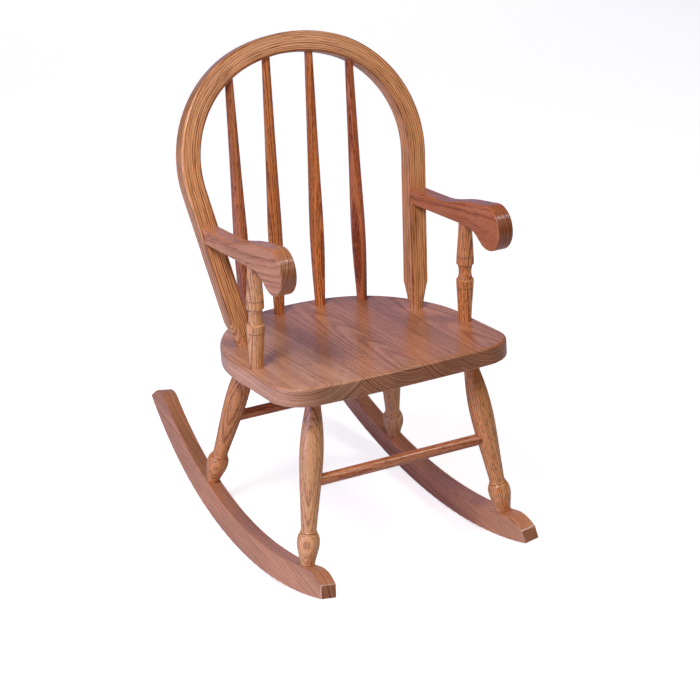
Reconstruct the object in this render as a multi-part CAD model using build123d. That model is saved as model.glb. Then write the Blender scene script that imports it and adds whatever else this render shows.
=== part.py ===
from build123d import *
import math
import os

os.makedirs("parts", exist_ok=True)

# Child's hoop back rocking chair in oak.  Sizes in mm, angles in degrees.
# The pieces are laid out on the seat: X across, Y to the back, Z up from the seat's top face,
# with Y = 0 at the arm posts.  At the end the chair is leaned back to where it balances on its
# rockers, with the floor at Z = 0.

# Fits
glue_gap = 0.1            # between a round tenon and its socket, on the radius
end_gap = 0.4             # between a tenon's end and the bottom of its socket
rest_gap = 0.15           # between a coped foot and the curved top of a rocker

# Seat
seat_half_width = 181.5
seat_thickness = 26.3
seat_front_y = -125.0
seat_front_bow = 3.5
seat_corner_radius = 55.0
seat_side_end_y = 40.0
seat_shoulder_x = 159.8
seat_shoulder_y = 130.0
seat_back_y = 227.5
seat_top_round = 5.0
seat_bottom_round = 3.0
seat_joint_x = (-71.0, 21.5, 83.0)
seat_socket_depth = 17.0
seat_socket_break = 0.3    # eased mouth of each socket in the seat's top face

# Hoop
hoop_width = 29.0
hoop_thickness = 25.5
hoop_edge_round = 3.6
hoop_lean = 13.0
hoop_foot_y = 80.1
hoop_height = 409.8
hoop_top_radius = 216.4
hoop_top_angle = 18.3
hoop_side_radius = 157.2
hoop_leg_splay = 9.0
hoop_tenon_radius = 9.8
hoop_taper_start = 3.0
hoop_taper_length = 35.0
hoop_taper_radius = 17.0

# Spindles
spindle_inner_x = 33.6
spindle_outer_x = 94.5
spindle_inner_y = 195.6
spindle_outer_y = 177.7
spindle_foot_radius = 7.6
spindle_swell_radius = 10.6
spindle_swell_height = 99.0
spindle_top_radius = 5.8
spindle_top_depth = 10.0

# Arm posts
post_x = 165.0
post_y = -1.0
post_top_x = 163.7
post_top_y = -15.8
post_end_radius = 9.5
post_swell_radius = 12.5
post_shoulder_radius = 10.6
post_neck_radius = 9.1
post_lower_shoulder = 65.0
post_upper_shoulder = 86.0
post_swell_run = 14.0
post_tenon_radius = 6.0
post_tenon_length = 14.0

# Arms
arm_x = 164.0
arm_thickness = 24.0
arm_bottom = 148.4
arm_top = 170.9
arm_flat_end_y = 46.0
arm_rise_y = -27.0
arm_rise_top = 182.3
arm_under_end_y = -29.0
arm_under_mid_y = -57.0
arm_under_mid = 142.7
arm_scroll_y = -91.3
arm_scroll_height = 157.6
arm_scroll_radius = 32.0
arm_edge_round = 3.0

# Arm screws, driven from behind the hoop and covered with plugs
screw_height = 155.5
screw_radius = 2.0
screw_head_radius = 4.0
screw_head_length = 3.0
screw_bite = 28.0
screw_hole_play = 0.15
plug_radius = 5.0
plug_length = 6.0
plug_dome = 1.2

# Legs
leg_front_top = (121.5, -83.0)
leg_rear_top = (112.8, 133.8)
leg_top_radius = 9.6
leg_top_straight = 5.0
leg_swell_radius = 15.7
leg_swell_from_top = 57.0
leg_neck_radius = 10.8
leg_neck_height = 49.0
leg_collar_radius = 12.2
leg_bulb_radius = 15.8
leg_bulb_height = 33.5
leg_foot_radius = 10.1
leg_tenon_radius = 6.0
leg_tenon_length = 16.0

# Stretchers
stretcher_radius = 8.1
stretcher_front_drop = 144.0
stretcher_rear_drop = 133.6
stretcher_bite = 11.0      # length of the stretcher's end inside the leg
leg_bore_reach = 7.0       # from the leg's axis to where that length starts

# Rockers
rocker_radius = 703.5
rocker_depth = 37.7
rocker_thickness = 23.6
rocker_lean = 8.9
rocker_center_y = 18.6
rocker_center_height = 711.9
rocker_x = 165.9
rocker_base_drop = 314.2
rocker_front_angle = -15.5
rocker_rear_angle = 36.0
rocker_end_face = 19.0
rocker_front_run = 3.4       # how far round its arc the front end's rounding reaches
rocker_rear_run = 2.9
rocker_front_rake = 0.0       # lean of each end face, as an angle on the arc
rocker_rear_rake = 0.55
rocker_edge_round = 1.8
rocker_front_foot_angle = -10.5
rocker_rear_foot_angle = 17.0

# Brads that pin the leg tenons, driven from the rockers' inner sides
brad_radius = 0.8
brad_head_radius = 1.5
brad_head_length = 1.0
brad_length = 17.0
brad_set = 0.6
brad_drop = 10.5
brad_play = 0.1

# Weights, in g/cm3, used only to find the chair's balance
oak_density = 0.7
steel_density = 7.85

groove_depth = 0.6
groove_width = 1.4


# ---------------------------------------------------------------- shared shapes
def run_along(start, end):
    """Placement with Z from start towards end."""
    start = Vector(*start)
    end = Vector(*end)
    return Plane(origin=start, z_dir=end - start).location


def distance(start, end):
    return (Vector(*end) - Vector(*start)).length


def mix(start, end, share):
    return tuple(a + (b - a) * share for a, b in zip(start, end))


def rod(radius, low, high):
    """Cylinder on Z between two heights."""
    return Pos(0, 0, (low + high) / 2) * Cylinder(radius, high - low)


def turned(edges):
    """Solid of revolution about Z from edges drawn in the XZ plane, from the low end to the high."""
    first = edges[0] @ 0
    last = edges[-1] @ 1
    corners = [last, Vector(0, 0, last.Z), Vector(0, 0, first.Z), first]
    closing = [Line(a, b) for a, b in zip(corners[:-1], corners[1:]) if (b - a).length > 0.001]
    return revolve(make_face(edges + closing), Axis.Z, 360)


def ring_groove(radius, height):
    """Ring with a V section that cuts a fine groove into a turning."""
    half = groove_width / 2
    outer = radius + 2
    wide = half * (groove_depth + 2) / groove_depth
    points = [(radius - groove_depth, 0, height), (outer, 0, height + wide), (outer, 0, height - wide)]
    return revolve(make_face(Polyline(*points, close=True)), Axis.Z, 360)


def spline(points, start_tangent, end_tangent):
    return Spline(*points, tangents=(start_tangent, end_tangent))


def mirrored(shape):
    return mirror(shape, Plane.YZ)


# ---------------------------------------------------------------- hoop geometry
hoop_lean_sin = math.sin(math.radians(hoop_lean))
hoop_lean_cos = math.cos(math.radians(hoop_lean))
hoop_top_center = (0.0, hoop_height - hoop_top_radius)
hoop_side_center = (
    (hoop_top_radius - hoop_side_radius) * math.sin(math.radians(hoop_top_angle)),
    hoop_top_center[1]
    + (hoop_top_radius - hoop_side_radius) * math.cos(math.radians(hoop_top_angle)),
)
hoop_plane = Plane(
    origin=(0, hoop_foot_y, 0),
    x_dir=(1, 0, 0),
    z_dir=(0, -hoop_lean_cos, hoop_lean_sin),
)


def hoop_point(across, up, behind):
    """Point in the seat's frame: across the hoop, up its front face, and behind that face."""
    return (
        across,
        hoop_foot_y + up * hoop_lean_sin + behind * hoop_lean_cos,
        up * hoop_lean_cos - behind * hoop_lean_sin,
    )


def on_arc(center, radius, angle):
    turn = math.radians(angle)
    return (center[0] + radius * math.sin(turn), center[1] + radius * math.cos(turn))


def hoop_bend(offset):
    """Points round the right half of the hoop, at an offset from its middle line."""
    side_end_angle = 90 + hoop_leg_splay
    middle_angle = (hoop_top_angle + side_end_angle) / 2
    top = on_arc(hoop_top_center, hoop_top_radius + offset, 0)
    shoulder = on_arc(hoop_side_center, hoop_side_radius + offset, hoop_top_angle)
    side = on_arc(hoop_side_center, hoop_side_radius + offset, middle_angle)
    bend_end = on_arc(hoop_side_center, hoop_side_radius + offset, side_end_angle)
    return top, shoulder, side, bend_end


def hoop_leg_line():
    """Middle of the right leg where the bend ends, and where it meets the top of the seat."""
    bend_end = hoop_bend(0)[3]
    seat_up = hoop_thickness / 2 * hoop_lean_sin / hoop_lean_cos
    run = bend_end[1] - seat_up
    foot = (bend_end[0] - run * math.tan(math.radians(hoop_leg_splay)), seat_up)
    return bend_end, foot


def hoop_rim_up(across):
    """How far up the hoop its inner rim lies, at a distance from the middle."""
    inset = hoop_width / 2
    switch = (hoop_top_radius - inset) * math.sin(math.radians(hoop_top_angle))
    if across <= switch:
        return hoop_top_center[1] + math.sqrt((hoop_top_radius - inset) ** 2 - across**2)
    reach = across - hoop_side_center[0]
    return hoop_side_center[1] + math.sqrt((hoop_side_radius - inset) ** 2 - reach**2)


bend_end, leg_foot = hoop_leg_line()
hoop_leg_top = hoop_point(bend_end[0], bend_end[1], hoop_thickness / 2)
hoop_foot = hoop_point(leg_foot[0], leg_foot[1], hoop_thickness / 2)

# ---------------------------------------------------------------- rocker geometry
rocker_lean_sin = math.sin(math.radians(rocker_lean))
rocker_lean_cos = math.cos(math.radians(rocker_lean))
rocker_top_radius = rocker_radius - rocker_depth
rocker_plane = Plane(
    origin=(rocker_x, 0, -rocker_base_drop),
    x_dir=(0, 1, 0),
    z_dir=(rocker_lean_cos, 0, rocker_lean_sin),
)


def rocker_arc_point(radius, angle):
    """Point in the rocker's own plane, at an angle behind the lowest line of its arc."""
    turn = math.radians(angle)
    return (
        rocker_center_y + radius * math.sin(turn),
        rocker_center_height - radius * math.cos(turn),
    )


def rocker_point(radius, angle, across):
    """The same point in the seat's frame, moved across the rocker's thickness."""
    along_y, up = rocker_arc_point(radius, angle)
    return (
        rocker_x + across * rocker_lean_cos - up * rocker_lean_sin,
        along_y,
        -rocker_base_drop + up * rocker_lean_cos + across * rocker_lean_sin,
    )


# ---------------------------------------------------------------- axes of the turned pieces
spindle_axes = []
for foot_x, foot_y in (
    (spindle_outer_x, spindle_outer_y),
    (spindle_inner_x, spindle_inner_y),
):
    spindle_axes.append(
        ((foot_x, foot_y, 0), hoop_point(foot_x, hoop_rim_up(foot_x), hoop_thickness / 2))
    )

leg_axes = {
    "front": (
        rocker_point(rocker_top_radius, rocker_front_foot_angle, 0),
        (leg_front_top[0], leg_front_top[1], -seat_thickness),
    ),
    "rear": (
        rocker_point(rocker_top_radius, rocker_rear_foot_angle, 0),
        (leg_rear_top[0], leg_rear_top[1], -seat_thickness),
    ),
}
post_axis = ((post_x, post_y, 0), (post_top_x, post_top_y, arm_bottom))


def leg_at_drop(which, drop):
    """Point on a leg's axis at a distance under the seat's top face."""
    foot, top = leg_axes[which]
    return mix(foot, top, (-drop - foot[2]) / (top[2] - foot[2]))


# ---------------------------------------------------------------- seat
def make_seat():
    front_y = seat_front_y
    corner = seat_corner_radius
    half = seat_half_width
    front_end = (half - corner, front_y)
    corner_mid = (
        half - corner + corner * math.sin(math.radians(45)),
        front_y + corner - corner * math.cos(math.radians(45)),
    )
    corner_end = (half, front_y + corner)
    side_end = (half, seat_side_end_y)
    shoulder = (seat_shoulder_x, seat_shoulder_y)
    back = (0, seat_back_y)
    right = [
        ThreePointArc(front_end, corner_mid, corner_end),
        Line(corner_end, side_end),
        spline([side_end, shoulder, back], (0, 1), (-1, 0)),
    ]
    left = [mirrored(edge) for edge in right]
    front = ThreePointArc(
        (-front_end[0], front_y), (0, front_y - seat_front_bow), (front_end[0], front_y)
    )
    slab = extrude(make_face([front] + right + left), -seat_thickness)
    slab = fillet(slab.faces().sort_by(Axis.Z)[-1].edges(), seat_top_round)
    slab = fillet(slab.faces().sort_by(Axis.Z)[0].edges(), seat_bottom_round)
    return slab


def seat_sockets():
    """Drilled sockets for everything that stands in the seat."""
    depth = seat_socket_depth
    holes = []
    for foot, top in spindle_axes:
        holes.append(run_along(foot, top) * rod(spindle_foot_radius + glue_gap, -depth, 20))
    holes.append(run_along(hoop_foot, hoop_leg_top) * rod(hoop_tenon_radius + glue_gap, -depth, 20))
    holes.append(run_along(*post_axis) * rod(post_end_radius + glue_gap, -depth, 20))
    for foot, top in leg_axes.values():
        holes.append(run_along(top, foot) * rod(leg_top_radius + glue_gap, -depth, 20))
    return holes + [mirrored(hole) for hole in holes]


def make_seat_boards():
    slab = make_seat()
    for hole in seat_sockets():
        slab = slab - hole
    top_face = slab.faces().sort_by(Axis.Z)[-1]
    mouths = [edge for wire in top_face.inner_wires() for edge in wire.edges()]
    slab = chamfer(mouths, seat_socket_break)
    reach = 2 * seat_half_width
    edges = (-reach,) + seat_joint_x + (reach,)
    boards = []
    for low, high in zip(edges[:-1], edges[1:]):
        block = Pos((low + high) / 2, 0, 0) * Box(high - low, 4 * reach, 4 * seat_thickness)
        boards.append(slab & block)
    return boards


# ---------------------------------------------------------------- hoop
def half_ring(offset, foot_run):
    """Edges of one face of the hoop from its left foot round to its right foot."""
    top, shoulder, side, end = hoop_bend(offset)
    splay = math.radians(hoop_leg_splay)
    foot = (end[0] - foot_run * math.sin(splay), end[1] - foot_run * math.cos(splay))

    def flip(point):
        return (-point[0], point[1])

    return [
        Line(flip(foot), flip(end)),
        ThreePointArc(flip(end), flip(side), flip(shoulder)),
        ThreePointArc(flip(shoulder), top, shoulder),
        ThreePointArc(shoulder, side, end),
        Line(end, foot),
    ]


def foot_trim():
    """What is taken off the hoop's right foot to leave its cone and round tenon."""
    depth = seat_socket_depth - end_gap
    end = hoop_taper_start + hoop_taper_length
    keep = turned(
        [
            Line((hoop_tenon_radius, 0, -depth), (hoop_tenon_radius, 0, hoop_taper_start)),
            Line((hoop_tenon_radius, 0, hoop_taper_start), (hoop_taper_radius, 0, end)),
            Line((hoop_taper_radius, 0, end), (hoop_taper_radius, 0, end + 30)),
        ]
    )
    blank = rod(2 * hoop_width, -3 * depth, end)
    return run_along(hoop_foot, hoop_leg_top) * (blank - keep)


def make_hoop():
    foot_run = distance(hoop_foot, hoop_leg_top) + seat_socket_depth + 10
    outer = half_ring(hoop_width / 2, foot_run)
    inner = half_ring(-hoop_width / 2, foot_run)
    ends = [Line(outer[0] @ 0, inner[0] @ 0), Line(outer[-1] @ 1, inner[-1] @ 1)]
    blank = extrude(make_face(outer + inner + ends), -hoop_thickness)
    rims = blank.faces().sort_by(Axis.Z)
    blank = fillet(rims[0].edges() + rims[-1].edges(), hoop_edge_round)
    hoop = hoop_plane.location * blank
    trim = foot_trim()
    hoop = hoop - trim - mirrored(trim)
    for foot, top in spindle_axes:
        hole = run_along(top, foot) * rod(spindle_top_radius + glue_gap, -spindle_top_depth, 15)
        hoop = hoop - hole - mirrored(hole)
    for hole in screw_holes():
        hoop = hoop - hole - mirrored(hole)
    return hoop


# ---------------------------------------------------------------- arm screws and plugs
def screw_axis():
    """From the screw's head end, behind the hoop, to its point in the arm."""
    up = screw_height / hoop_lean_cos
    return hoop_point(arm_x, up, hoop_thickness), hoop_point(arm_x, up, -60)


def screw_holes():
    """Bore for the shank, and the wider bore behind it for the head and plug."""
    place = run_along(*screw_axis())
    shank = rod(screw_radius + screw_hole_play, -5, hoop_thickness + screw_bite + 1)
    wide = rod(plug_radius + glue_gap, -5, plug_length + screw_head_length + end_gap)
    return [place * shank, place * wide]


def make_screw():
    start = plug_length + end_gap
    head = rod(screw_head_radius, start, start + screw_head_length)
    shank = rod(screw_radius, start, hoop_thickness + screw_bite)
    return run_along(*screw_axis()) * (head + shank)


def make_plug():
    crown = spline(
        [(0, 0, -plug_dome), (0.6 * plug_radius, 0, -0.8 * plug_dome), (plug_radius, 0, 0)],
        (1, 0, 0),
        (0.2, 0, 1),
    )
    side = Line((plug_radius, 0, 0), (plug_radius, 0, plug_length))
    return run_along(*screw_axis()) * turned([crown, side])


# ---------------------------------------------------------------- spindles
def make_spindle(axis):
    foot, top = axis
    length = distance(foot, top)
    low = -(seat_socket_depth - end_gap)
    high = length + spindle_top_depth - end_gap
    lean_in = (spindle_swell_radius - spindle_foot_radius) / spindle_swell_height
    taper = (spindle_swell_radius - spindle_top_radius) / (length - spindle_swell_height)
    lower_mid = (0.45 * spindle_foot_radius + 0.55 * spindle_swell_radius, 0, 0.42 * spindle_swell_height)
    upper_share = 0.35
    upper_mid = (
        spindle_swell_radius - upper_share * (spindle_swell_radius - spindle_top_radius),
        0,
        spindle_swell_height + upper_share * (length - spindle_swell_height),
    )
    edges = [
        Line((spindle_foot_radius, 0, low), (spindle_foot_radius, 0, 0)),
        spline(
            [
                (spindle_foot_radius, 0, 0),
                lower_mid,
                (spindle_swell_radius, 0, spindle_swell_height),
                upper_mid,
                (spindle_top_radius, 0, length),
            ],
            (lean_in, 0, 1),
            (-taper, 0, 1),
        ),
        Line((spindle_top_radius, 0, length), (spindle_top_radius, 0, high)),
    ]
    return run_along(foot, top) * turned(edges)


# ---------------------------------------------------------------- arm posts
def make_post():
    foot, top = post_axis
    length = distance(foot, top)
    low = -(seat_socket_depth - end_gap)
    swell_low = post_lower_shoulder - post_swell_run
    swell_high = post_upper_shoulder + post_swell_run
    middle = (post_lower_shoulder + post_upper_shoulder) / 2
    step = 1.6
    edges = [
        Line((post_end_radius, 0, low), (post_end_radius, 0, 0)),
        spline(
            [
                (post_end_radius, 0, 0),
                (post_swell_radius - 0.6, 0, swell_low - 3),
                (post_swell_radius, 0, post_lower_shoulder - step),
            ],
            (0.02, 0, 1),
            (0, 0, 1),
        ),
        Line((post_swell_radius, 0, post_lower_shoulder - step), (post_shoulder_radius, 0, post_lower_shoulder)),
        spline(
            [
                (post_shoulder_radius, 0, post_lower_shoulder),
                (post_neck_radius, 0, middle),
                (post_shoulder_radius, 0, post_upper_shoulder),
            ],
            (-0.3, 0, 1),
            (0.3, 0, 1),
        ),
        Line((post_shoulder_radius, 0, post_upper_shoulder), (post_swell_radius, 0, post_upper_shoulder + step)),
        spline(
            [
                (post_swell_radius, 0, post_upper_shoulder + step),
                (post_swell_radius - 0.6, 0, swell_high + 3),
                (post_end_radius, 0, length),
            ],
            (0, 0, 1),
            (-0.02, 0, 1),
        ),
        Line((post_end_radius, 0, length), (post_end_radius, 0, length + post_tenon_length)),
    ]
    post = turned(edges)
    post = post - ring_groove(post_swell_radius, swell_low + 1)
    post = post - ring_groove(post_swell_radius, swell_high - 1)
    post = run_along(foot, top) * post
    above = Pos(post_top_x, post_top_y, arm_bottom + 100) * Box(200, 200, 200)
    post = post - above
    tenon = run_along(foot, top) * rod(post_tenon_radius, length - 10, length + post_tenon_length - end_gap)
    return post + tenon


# ---------------------------------------------------------------- arms
def make_arm():
    center = (arm_scroll_y, arm_scroll_height)
    radius = arm_scroll_radius

    def scroll(angle):
        turn = math.radians(angle)
        return (center[0] + radius * math.sin(turn), center[1] + radius * math.cos(turn))

    def heading(angle):
        turn = math.radians(angle)
        return (-math.cos(turn), math.sin(turn))

    top_angle = 8.0
    under_angle = 143.0
    behind_y = hoop_foot_y + 2 * hoop_width + 40
    top_back = (behind_y, arm_top)
    bottom_back = (behind_y, arm_bottom)
    flat_end = (arm_flat_end_y, arm_top)
    under_end = (arm_under_end_y, arm_bottom)
    rise = (arm_rise_y, arm_rise_top)
    under_mid = (arm_under_mid_y, arm_under_mid)
    under_tangent = heading(under_angle)
    edges = [
        Line(top_back, flat_end),
        spline([flat_end, rise, scroll(top_angle)], (-1, 0), heading(top_angle)),
        ThreePointArc(scroll(top_angle), scroll(-100), scroll(under_angle - 360)),
        spline([scroll(under_angle), under_mid, under_end], under_tangent, (1, 0)),
        Line(under_end, bottom_back),
        Line(bottom_back, top_back),
    ]
    side = Plane(origin=(arm_x - arm_thickness / 2, 0, 0), x_dir=(0, 1, 0), z_dir=(1, 0, 0))
    blank = extrude(make_face(edges), arm_thickness)
    faces = blank.faces().sort_by(Axis.Z)
    long_edges = [
        edge
        for edge in faces[0].edges() + faces[-1].edges()
        if edge.center().X < behind_y - 1
    ]
    blank = fillet(long_edges, arm_edge_round)
    arm = side.location * blank
    behind = hoop_plane.location * (Pos(0, arm_top, -100) * Box(600, 400, 200))
    arm = arm - behind
    foot, top = post_axis
    length = distance(foot, top)
    socket = run_along(foot, top) * rod(
        post_tenon_radius + glue_gap, length - 15, length + post_tenon_length
    )
    arm = arm - socket
    return arm - screw_holes()[0]


# ---------------------------------------------------------------- legs
def leg_blank(length):
    """Turned leg standing on Z, with its foot at zero and its seat end at length."""
    swell = length - leg_swell_from_top
    low = -12.0
    high = length + seat_socket_depth - end_gap
    groove = leg_neck_height - 3.5
    edges = [
        Line((leg_foot_radius, 0, low), (leg_foot_radius, 0, 1)),
        spline(
            [
                (leg_foot_radius, 0, 1),
                (0.42 * leg_foot_radius + 0.58 * leg_bulb_radius, 0, 0.5 * leg_bulb_height),
                (leg_bulb_radius, 0, leg_bulb_height),
                (leg_collar_radius, 0, groove - 1),
            ],
            (0.12, 0, 1),
            (-0.9, 0, 0.6),
        ),
        Line((leg_collar_radius, 0, groove - 1), (leg_collar_radius, 0, groove + 1)),
        spline(
            [(leg_collar_radius, 0, groove + 1), (leg_neck_radius, 0, leg_neck_height + 1.5)],
            (-0.4, 0, 0.6),
            (0, 0, 1),
        ),
        spline(
            [
                (leg_neck_radius, 0, leg_neck_height + 1.5),
                (
                    0.42 * leg_neck_radius + 0.58 * leg_swell_radius,
                    0,
                    leg_neck_height + 0.36 * (swell - leg_neck_height),
                ),
                (leg_swell_radius, 0, swell),
                (0.6 * leg_top_radius + 0.4 * leg_swell_radius, 0, length - 0.42 * leg_swell_from_top),
                (leg_top_radius, 0, length - leg_top_straight),
            ],
            (0.06, 0, 1),
            (-0.08, 0, 1),
        ),
        Line((leg_top_radius, 0, length - leg_top_straight), (leg_top_radius, 0, high)),
    ]
    return turned(edges) - ring_groove(leg_collar_radius, groove)


def rocker_cope():
    """Everything under a surface just clear of the rocker's curved top."""
    outer = Cylinder(rocker_radius + 200, 120)
    inner = Cylinder(rocker_top_radius - rest_gap, 130)
    ring = Pos(rocker_center_y, rocker_center_height, 0) * (outer - inner)
    return rocker_plane.location * ring


def make_leg(which, drop):
    foot, top = leg_axes[which]
    length = distance(foot, top)
    leg = run_along(foot, top) * leg_blank(length)
    leg = leg - rocker_cope()
    tenon = run_along(foot, top) * rod(leg_tenon_radius, -(leg_tenon_length - end_gap), 12)
    leg = leg + tenon
    at = leg_at_drop(which, drop)
    socket = run_along(at, (0, at[1], at[2])) * rod(
        stretcher_radius + glue_gap, -(stretcher_bite - leg_bore_reach), 60
    )
    leg = leg - socket
    for hole in brad_holes(which):
        leg = leg - hole
    return leg


def make_stretcher(which, drop):
    at = leg_at_drop(which, drop)
    reach = at[0] + stretcher_bite - leg_bore_reach - end_gap
    bar = Pos(0, at[1], at[2]) * (Rot(0, 90, 0) * Cylinder(stretcher_radius, 2 * reach))
    return bar


# ---------------------------------------------------------------- brads
def brad_axis(which):
    angle = {"front": rocker_front_foot_angle, "rear": rocker_rear_foot_angle}[which]
    radius = rocker_top_radius + brad_drop
    inner_face = rocker_point(radius, angle, -rocker_thickness / 2)
    outer_face = rocker_point(radius, angle, rocker_thickness / 2)
    return inner_face, outer_face


def brad_holes(which):
    place = run_along(*brad_axis(which))
    shank = rod(brad_radius + brad_play, -3, brad_set + brad_length + end_gap)
    head = rod(brad_head_radius + brad_play, -3, brad_set + brad_head_length)
    return [place * shank, place * head]


def make_brad(which):
    head = rod(brad_head_radius, brad_set, brad_set + brad_head_length)
    shank = rod(brad_radius, brad_set, brad_set + brad_length)
    return run_along(*brad_axis(which)) * (head + shank)


# ---------------------------------------------------------------- rockers
def rocker_end(angle, rake, run):
    """Points that round a rocker's end: end face foot, end face top, and start of the top arc."""
    low = rocker_arc_point(rocker_radius, angle)
    high = rocker_arc_point(rocker_radius - rocker_end_face, angle + rake)
    top = rocker_arc_point(rocker_top_radius, angle + run)
    return low, high, top


def make_rocker():
    front_low, front_high, front_top = rocker_end(
        rocker_front_angle, rocker_front_rake, rocker_front_run
    )
    rear_low, rear_high, rear_top = rocker_end(rocker_rear_angle, -rocker_rear_rake, -rocker_rear_run)
    middle = (rocker_front_angle + rocker_rear_angle) / 2
    front_turn = math.radians(rocker_front_angle + rocker_front_run)
    rear_turn = math.radians(rocker_rear_angle - rocker_rear_run)
    edges = [
        ThreePointArc(front_low, rocker_arc_point(rocker_radius, middle), rear_low),
        Line(rear_low, rear_high),
        TangentArc(rear_top, rear_high, tangent=(math.cos(rear_turn), math.sin(rear_turn))),
        ThreePointArc(rear_top, rocker_arc_point(rocker_top_radius, middle), front_top),
        TangentArc(front_top, front_high, tangent=(-math.cos(front_turn), -math.sin(front_turn))),
        Line(front_high, front_low),
    ]
    blank = extrude(make_face(edges), rocker_thickness)
    blank = Pos(0, 0, -rocker_thickness / 2) * blank
    faces = blank.faces().sort_by(Axis.Z)
    curved = [
        edge
        for edge in faces[0].edges() + faces[-1].edges()
        if edge.geom_type != GeomType.LINE
    ]
    rocker = rocker_plane.location * fillet(curved, rocker_edge_round)
    for which, (foot, top) in leg_axes.items():
        socket = run_along(foot, top) * rod(leg_tenon_radius + glue_gap, -leg_tenon_length, 20)
        rocker = rocker - socket
        for hole in brad_holes(which):
            rocker = rocker - hole
    return rocker


# ---------------------------------------------------------------- all pieces
# Left and right are the sitter's: left is at +X.  Boards and spindles count from right to left.
pieces = {}
for number, board in enumerate(make_seat_boards(), start=1):
    pieces[f"seat_board_{number}"] = [board]
pieces["hoop"] = [make_hoop()]
outer_spindle = make_spindle(spindle_axes[0])
inner_spindle = make_spindle(spindle_axes[1])
pieces["spindle_1"] = [mirrored(outer_spindle)]
pieces["spindle_2"] = [mirrored(inner_spindle)]
pieces["spindle_3"] = [inner_spindle]
pieces["spindle_4"] = [outer_spindle]
for name, shape in (
    ("arm", make_arm()),
    ("arm_post", make_post()),
    ("leg_front", make_leg("front", stretcher_front_drop)),
    ("leg_rear", make_leg("rear", stretcher_rear_drop)),
    ("rocker", make_rocker()),
):
    pieces[name + "_left"] = [shape]
    pieces[name + "_right"] = [mirrored(shape)]
pieces["stretcher_front"] = [make_stretcher("front", stretcher_front_drop)]
pieces["stretcher_rear"] = [make_stretcher("rear", stretcher_rear_drop)]
screw = make_screw()
plug = make_plug()
pieces["arm_screws"] = [mirrored(screw), screw]
pieces["arm_plugs"] = [mirrored(plug), plug]
brads = [make_brad("front"), make_brad("rear")]
pieces["rocker_brads"] = brads + [mirrored(brad) for brad in brads]


# ---------------------------------------------------------------- balance on the rockers
def balance_point():
    """The chair's centre of mass in the seat's frame."""
    total = 0.0
    moment = Vector(0, 0, 0)
    for name, solids in pieces.items():
        density = steel_density if name in ("arm_screws", "rocker_brads") else oak_density
        for solid in solids:
            weight = density * solid.volume
            total += weight
            moment += solid.center(CenterOf.MASS) * weight
    return moment / total


def overhang(tilt, mass_center):
    """How far the centre of mass lies behind the rockers' touch line, at a backward tilt."""
    turn = math.radians(tilt)
    angle = math.degrees(math.atan(math.tan(turn) / rocker_lean_cos))
    touch = rocker_point(rocker_radius, angle, -rocker_thickness / 2)
    mass_y = mass_center.Y * math.cos(turn) + mass_center.Z * math.sin(turn)
    touch_y = touch[1] * math.cos(turn) + touch[2] * math.sin(turn)
    return mass_y - touch_y


def find_tilt():
    mass_center = balance_point()
    low = 0.0
    high = 20.0
    for _ in range(50):
        middle = (low + high) / 2
        if overhang(middle, mass_center) > 0:
            low = middle
        else:
            high = middle
    return (low + high) / 2


tilt = find_tilt()
leaned = {
    name: [Rot(-tilt, 0, 0) * solid for solid in solids] for name, solids in pieces.items()
}
boxes = [solid.bounding_box() for solids in leaned.values() for solid in solids]
front_y = min(box.min.Y for box in boxes)
back_y = max(box.max.Y for box in boxes)
floor_z = min(box.min.Z for box in boxes)
stand = Pos(0, -(front_y + back_y) / 2, -floor_z)
print("leaned back", round(tilt, 3), "degrees; moved by", stand.position)

for name, solids in leaned.items():
    placed = [solid for piece in solids for solid in (stand * piece).solids()]
    shape = placed[0] if len(placed) == 1 else Compound(placed)
    export_step(shape, f"parts/{name}.step")
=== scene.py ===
import math

import bmesh
import bpy
import numpy as np
from bpy.props import FloatProperty, FloatVectorProperty, IntProperty, PointerProperty
from mathutils import Matrix, Vector


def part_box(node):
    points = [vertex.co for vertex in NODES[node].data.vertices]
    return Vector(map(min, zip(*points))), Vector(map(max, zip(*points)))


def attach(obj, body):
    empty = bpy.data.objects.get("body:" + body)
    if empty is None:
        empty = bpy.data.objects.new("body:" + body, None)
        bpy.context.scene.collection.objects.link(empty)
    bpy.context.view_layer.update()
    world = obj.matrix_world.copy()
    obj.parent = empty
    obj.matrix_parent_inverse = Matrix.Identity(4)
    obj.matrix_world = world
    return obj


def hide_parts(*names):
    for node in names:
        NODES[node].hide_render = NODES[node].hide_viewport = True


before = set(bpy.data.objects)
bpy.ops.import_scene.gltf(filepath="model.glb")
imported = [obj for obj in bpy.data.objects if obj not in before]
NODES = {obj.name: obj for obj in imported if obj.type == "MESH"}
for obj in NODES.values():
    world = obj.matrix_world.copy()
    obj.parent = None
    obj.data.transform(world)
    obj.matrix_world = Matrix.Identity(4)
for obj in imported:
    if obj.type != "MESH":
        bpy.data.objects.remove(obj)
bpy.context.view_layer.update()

bl_info = {
    "name": "Hoop Back Rocking Chair",
    "version": (1, 0, 0),
    "blender": (4, 5, 0),
    "location": "3D View > Sidebar > Rocking Chair",
    "description": "Dresses a packed hoop back rocking chair in stained, lacquered oak",
    "category": "Object",
}

ROOT = "root"
MM = 0.001
ACROSS = Vector((1, 0, 0))


# ------------------------------------------------------------------ colours
def from_hex(code):
    """A linear colour from an sRGB hex value."""
    shares = [int(code[i : i + 2], 16) / 255 for i in (1, 3, 5)]
    return [s / 12.92 if s <= 0.04045 else ((s + 0.055) / 1.055) ** 2.4 for s in shares]


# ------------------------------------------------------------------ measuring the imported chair
def faces_of(node):
    """Centres, normals and areas of a CAD node's faces."""
    polygons = NODES[node].data.polygons
    centres = np.zeros(len(polygons) * 3)
    normals = np.zeros(len(polygons) * 3)
    areas = np.zeros(len(polygons))
    polygons.foreach_get("center", centres)
    polygons.foreach_get("normal", normals)
    polygons.foreach_get("area", areas)
    return centres.reshape(-1, 3), normals.reshape(-1, 3), areas


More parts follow.
